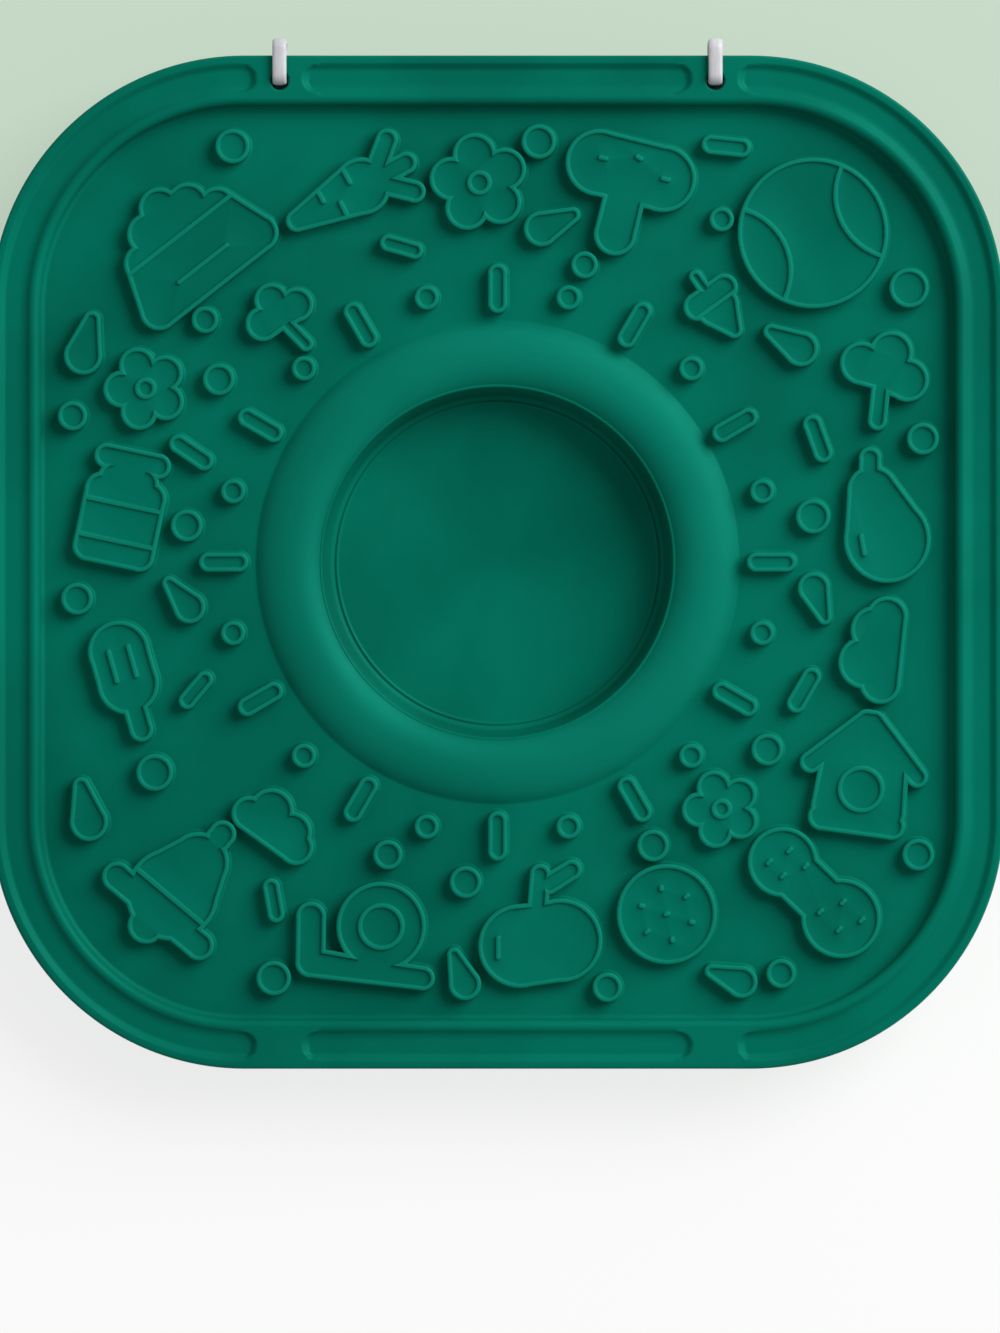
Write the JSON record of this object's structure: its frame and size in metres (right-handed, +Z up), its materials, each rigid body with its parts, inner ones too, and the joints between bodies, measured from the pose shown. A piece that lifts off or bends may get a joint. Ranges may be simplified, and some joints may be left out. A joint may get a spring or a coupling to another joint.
{
  "type": "lick mat",
  "caption": "Square soft mat with raised figures, a rounded rim and a sunken centre bowl for spread food, held down by suction cups underneath.",
  "frame": {"origin": "centre of the mat's base, on the surface that it lies on", "axes": "+Z up out of the licking face, +Y towards the edge with the two cable ties, +X to the right seen from above"},
  "size_m": [0.2, 0.2034, 0.0185],
  "materials": {
    "green_silicone": "satin moulded silicone",
    "grey_nylon": "moulded nylon",
    "clear_silicone": "milky soft silicone"
  },
  "bodies": {
    "mat": {"mat": "green_silicone"},
    "cable_tie_left": {"cable_tie_left": "grey_nylon"},
    "cable_tie_right": {"cable_tie_right": "grey_nylon"},
    "suction_cup_back_left": {"suction_cup_back_left": "clear_silicone"},
    "suction_cup_back": {"suction_cup_back": "clear_silicone"},
    "suction_cup_back_right": {"suction_cup_back_right": "clear_silicone"},
    "suction_cup_left": {"suction_cup_left": "clear_silicone"},
    "suction_cup_right": {"suction_cup_right": "clear_silicone"},
    "suction_cup_front_left": {"suction_cup_front_left": "clear_silicone"},
    "suction_cup_front": {"suction_cup_front": "clear_silicone"},
    "suction_cup_front_right": {"suction_cup_front_right": "clear_silicone"}
  },
  "joints": [
    {"name": "left_tie_swing", "type": "hinge", "parent": "mat", "child": "cable_tie_left", "pos_m": [-0.043, 0.095, 0.0125], "axis": [0, 0, 1], "range_deg": [-32, 32]},
    {"name": "right_tie_swing", "type": "hinge", "parent": "mat", "child": "cable_tie_right", "pos_m": [0.043, 0.095, 0.0125], "axis": [0, 0, 1], "range_deg": [-32, 32]},
    {"name": "back_left_cup_turn", "type": "hinge", "parent": "mat", "child": "suction_cup_back_left", "pos_m": [-0.058, 0.058, 0.005], "axis": [0, 0, 1], "continuous": true},
    {"name": "back_cup_turn", "type": "hinge", "parent": "mat", "child": "suction_cup_back", "pos_m": [0, 0.065, 0.005], "axis": [0, 0, 1], "continuous": true},
    {"name": "back_right_cup_turn", "type": "hinge", "parent": "mat", "child": "suction_cup_back_right", "pos_m": [0.058, 0.058, 0.005], "axis": [0, 0, 1], "continuous": true},
    {"name": "left_cup_turn", "type": "hinge", "parent": "mat", "child": "suction_cup_left", "pos_m": [-0.065, 0, 0.005], "axis": [0, 0, 1], "continuous": true},
    {"name": "right_cup_turn", "type": "hinge", "parent": "mat", "child": "suction_cup_right", "pos_m": [0.065, 0, 0.005], "axis": [0, 0, 1], "continuous": true},
    {"name": "front_left_cup_turn", "type": "hinge", "parent": "mat", "child": "suction_cup_front_left", "pos_m": [-0.058, -0.058, 0.005], "axis": [0, 0, 1], "continuous": true},
    {"name": "front_cup_turn", "type": "hinge", "parent": "mat", "child": "suction_cup_front", "pos_m": [0, -0.065, 0.005], "axis": [0, 0, 1], "continuous": true},
    {"name": "front_right_cup_turn", "type": "hinge", "parent": "mat", "child": "suction_cup_front_right", "pos_m": [0.058, -0.058, 0.005], "axis": [0, 0, 1], "continuous": true}
  ]
}
